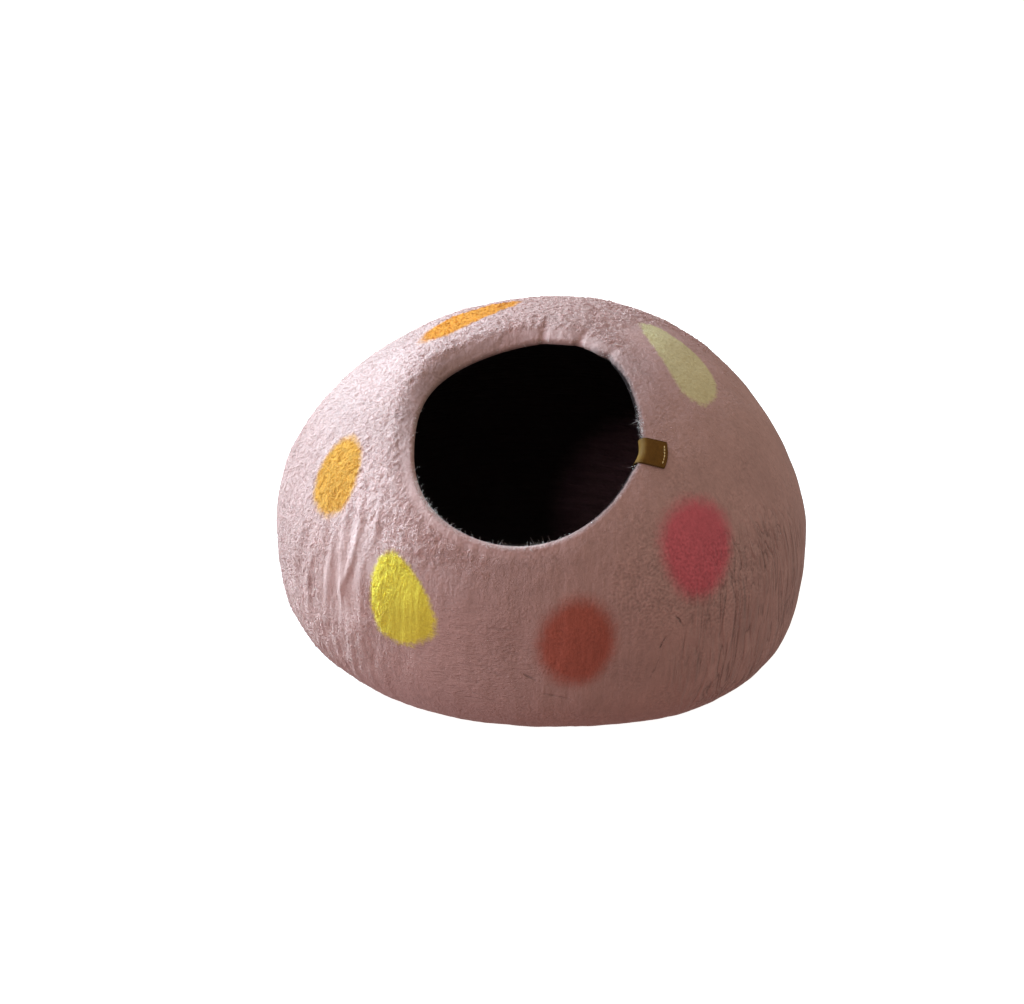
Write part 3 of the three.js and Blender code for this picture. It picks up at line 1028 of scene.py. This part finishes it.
def make_rim_fuzz(material):
    """Loose fibres on the opening's edge, most of them low on the left and at the bottom."""
    rng = np.random.default_rng(11)
    count = FUZZ["count"]
    tries = rng.uniform(0, 360, count * 12)
    share = FUZZ_SHARE
    for at, width, more in FUZZ_PLACES:
        share = share + more * bell(turns_apart(tries, at), width)
    turn = tries[rng.random(len(tries)) < share][:count]
    count = len(turn)
    direction = mouth_direction(turn, edge_spread(turn))
    normal = skin_normals(direction)
    facing = edge_facing(turn)
    around = np.cross(facing, normal)
    tilt = rng.uniform(0.15, 0.85, count) * math.pi / 2
    middle = skin_points(direction) - normal * WALL / 2
    out = np.sin(tilt)[:, None] * normal + np.cos(tilt)[:, None] * facing
    start = middle + out * (WALL / 2 - 0.3)
    heading = unit(out + rng.normal(size=out.shape) * 0.8)
    curve = rng.normal(size=out.shape) * 0.5 + np.array([0, 0, 0.15])
    length = rng.uniform(*FUZZ["length"], count) * rng.uniform(0.5, 1, count)
    part = np.linspace(0, 1, FUZZ["points"])[:, None]
    path = heading[:, None] * part + curve[:, None] * part**2
    centres = start[:, None] + path * length[:, None, None]
    radii = rng.uniform(*FUZZ["thickness"], count)[:, None] / 2 * (1 - 0.75 * part[:, 0])
    vertices, faces = tubes(centres, around[:, None] + 0.01, radii, FUZZ["sides"])
    return new_object("felt_rim_fuzz", placed(vertices), faces, [material])


# -------- the leather tag

TAG = {"turn": 356.6, "width": 26.0, "leaf": 18.5, "thickness": 1.1, "gap": 0.4}
# How far the outer leaf runs askew for each millimetre along it, and how far the tag is moved
# back for that.
TAG_SKEW, TAG_BACK = 0.13, 0.6
# Half the length of the fold's inner face, which runs round half a circle.
TAG_BEND = math.pi * (WALL / 2 + TAG["gap"]) / 2
TAG_STEPS = {"across": 28, "leaf": 24, "fold": 18}
TAG_EDGE, TAG_LUMPS = 0.5, 0.18
STITCHES = {"count": 6, "pitch": 2.9, "length": 2.6, "width": 0.95, "sides": 10}
STITCHES_FROM_END = 3.4


def tag_points(across, along, lift):
    """Points of the strip: across its width, along its length with 0 at the middle of the fold
    and the outer leaf positive, and lifted off its inner face."""
    beyond = np.maximum(0, np.abs(along) - TAG_BEND)
    edge = edge_spread(np.array(TAG["turn"]))
    spread = edge + np.degrees(beyond / RADIUS)
    askew = across + TAG_SKEW * np.clip(along, 0, None) - TAG_BACK
    turn = TAG["turn"] + np.degrees(askew / (RADIUS * np.sin(np.radians(spread))))
    direction = mouth_direction(turn, edge_spread(turn) + spread - edge)
    normal = skin_normals(direction)
    middle = skin_points(direction) - normal * WALL / 2
    height = (WALL / 2 + TAG["gap"] + lift)[..., None]
    flat = middle + normal * np.sign(along)[..., None] * height
    angle = (math.pi / 2 * (1 - np.clip(along / TAG_BEND, -1, 1)))[..., None]
    round_fold = middle + normal * height * np.cos(angle) + edge_facing(turn) * height * np.sin(angle)
    return np.where((beyond > 0)[..., None], flat, round_fold)


def tag_section():
    """The strip's cross-section, with rounded edges: across and lift, round once."""
    half, thick = TAG["width"] / 2 - TAG_EDGE, TAG["thickness"]
    top = np.linspace(-half, half, TAG_STEPS["across"])
    corner = np.radians(np.arange(22.5, 180, 22.5))
    across = np.concatenate([top, half + TAG_EDGE * np.sin(corner)])
    lift = np.concatenate([np.full(len(top), thick), thick / 2 * (1 + np.cos(corner))])
    return np.concatenate([across, -across]), np.concatenate([lift, thick - lift])


def make_tag(leather):
    across, lift = tag_section()
    leaf = TAG_BEND + TAG["leaf"] * np.linspace(1, 0, TAG_STEPS["leaf"], endpoint=False)
    fold = np.linspace(TAG_BEND, -TAG_BEND, TAG_STEPS["fold"] + 1)
    stations = np.concatenate([leaf, fold, -leaf[::-1]])
    rings, flats = [], []
    for station in stations:
        end = smooth_step(0, 0.8, TAG_BEND + TAG["leaf"] - abs(station))
        thin = lift + (TAG["thickness"] / 2 - lift) * 0.6 * (1 - end)
        along = np.full(len(across), station)
        lump = TAG_LUMPS * noise(np.stack([across, along, 0 * across], -1), 9, 5)
        rings.append(tag_points(across, along, thin + lump * (lift > 0.2)))
        flats.append(np.stack([across / (TAG["width"] / 2), along / 10], -1))
    count = len(across)
    vertices = np.concatenate([*rings, rings[0].mean(0)[None], rings[-1].mean(0)[None]])
    tag = new_object("leather_tag", placed(vertices), tube_faces(len(rings), count), [leather])
    strip = np.concatenate(flats + [np.array([[0, 3.0], [0, -3.0]])]).astype(np.float32)
    layer = tag.data.uv_layers.new(name="strip")
    corners = np.empty(len(tag.data.loops), np.int32)
    tag.data.loops.foreach_get("vertex_index", corners)
    layer.data.foreach_set("uv", strip[corners].ravel())
    return tag


def make_stitches(thread):
    """A short run of thread near the outer leaf's end, over the leather."""
    part = np.linspace(-0.5, 0.5, 7)
    number = np.arange(STITCHES["count"]) - (STITCHES["count"] - 1) / 2
    across = number[:, None] * STITCHES["pitch"] + part * STITCHES["length"]
    along = TAG_BEND + TAG["leaf"] - STITCHES_FROM_END + 0 * across
    arch = np.cos(math.pi * part) ** 0.6
    lift = TAG["thickness"] - 0.3 + 0.55 * arch + 0 * across
    centres = tag_points(across, along, lift)
    above = unit(tag_points(across, along, lift + 1) - centres)
    radii = STITCHES["width"] / 2 * (0.5 + 0.5 * arch) + 0 * across
    vertices, faces = tubes(centres, above, radii, STITCHES["sides"])
    return new_object("tag_thread", placed(vertices), faces, [thread])


# -------- camera, light and floor

CAMERA = {
    "azimuth": 12.0,
    "elevation": 25.0,
    "distance": 1400.0,
    "aim": (-30.5, 138.2),
    "roll": 2.0,
    "focal_px": 1536.0,
    "frame_px": 1024,
}

# A soft window-like light from the left, a weaker one above it and one before it: azimuth,
# elevation, size, power and colour.
LIGHTS = [
    ("key", -100, 24, 0.8, 82, (0.558, 0.923, 1.0)),
    ("high_left", -100, 45, 0.8, 40, (0.63, 0.78, 1.0)),
    ("front_left", -60, 8, 1.2, 24, (0.842, 0.896, 1.0)),
]
LIGHT_DISTANCE = 2.2
# The room's light: from everywhere, and how much more from above and from the left.
ROOM = (0.385, 0.272, 0.23)
ROOM_FROM_ABOVE = (0.228, 0.268, 0.23)
ROOM_FROM_LEFT = (0.045, 0.0, 0.0)


def make_camera():
    back = Vector(direction_of(CAMERA["azimuth"], CAMERA["elevation"]))
    right = Vector(direction_of(CAMERA["azimuth"] + 90, 0))
    sideways, height = CAMERA["aim"]
    aim = Vector(placed(np.array(right) * sideways + [0, 0, height]))
    up = back.cross(right)
    turn = Matrix.Rotation(math.radians(CAMERA["roll"]), 3, back)
    right, up = turn @ right, turn @ up
    data = bpy.data.cameras.new("camera")
    data.sensor_width = 36
    data.lens = CAMERA["focal_px"] * data.sensor_width / CAMERA["frame_px"]
    camera = put_in_scene("camera", data)
    camera.matrix_world = Matrix.Translation(aim + back * CAMERA["distance"] * MM) @ Matrix(
        (right, up, back)
    ).transposed().to_4x4()
    bpy.context.scene.camera = camera


def area_light(name, azimuth, elevation, size, power, colour):
    data = bpy.data.lights.new(name, "AREA")
    data.shape = "DISK"
    data.size = size
    data.energy = power
    data.color = colour
    light = put_in_scene(name, data)
    direction = Vector(direction_of(azimuth, elevation))
    light.location = Vector((0, 0, 0.15)) + direction * LIGHT_DISTANCE
    light.rotation_euler = direction.to_track_quat("Z", "Y").to_euler()


def make_light():
    """The lights, and a warm room that is brighter above and on their side."""
    for light in LIGHTS:
        area_light(*light)
    world = bpy.data.worlds.new("world")
    bpy.context.scene.world = world
    world.use_nodes = True
    world.node_tree.nodes.clear()
    graph = Graph(world.node_tree)
    seen = graph.node("Background", {"Color": (1, 1, 0.99, 1)})
    direction = graph.node("TexCoord").outputs["Generated"]
    towards = graph.node("SeparateXYZ", {0: direction}).outputs
    above = graph.scaled(ROOM_FROM_ABOVE, towards["Z"])
    left = graph.scaled(ROOM_FROM_LEFT, towards["X"])
    room = graph.vector("SUBTRACT", graph.vector("ADD", above, ROOM), left)
    fill = graph.node("Background", {"Color": room})
    to_camera = graph.node("LightPath").outputs["Is Camera Ray"]
    shaders = {0: to_camera, 1: fill.outputs[0], 2: seen.outputs[0]}
    both = graph.node("MixShader", shaders)
    graph.node("OutputWorld", {"Surface": both.outputs[0]})


def make_floor():
    half = 6.0
    corners = [(-half, -half, 0), (half, -half, 0), (half, half, 0), (-half, half, 0)]
    floor = new_object("floor", corners, [[(0, 1, 2, 3)]], [floor_material()])
    floor.visible_diffuse = False


# -------- assembly


def build():
    bpy.context.scene.view_settings.view_transform = "Standard"
    make_camera()
    make_light()
    make_floor()
    shell = make_shell(felt_material(), inside_material())
    wool = [*make_curls(pile_material()), make_rim_fuzz(loose_fibre_material())]
    tag = make_tag(leather_material())
    thread = make_stitches(thread_material())
    for piece in [shell, *wool, tag, thread]:
        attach(piece, "root")
    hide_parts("shell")
    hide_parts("tag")


build()
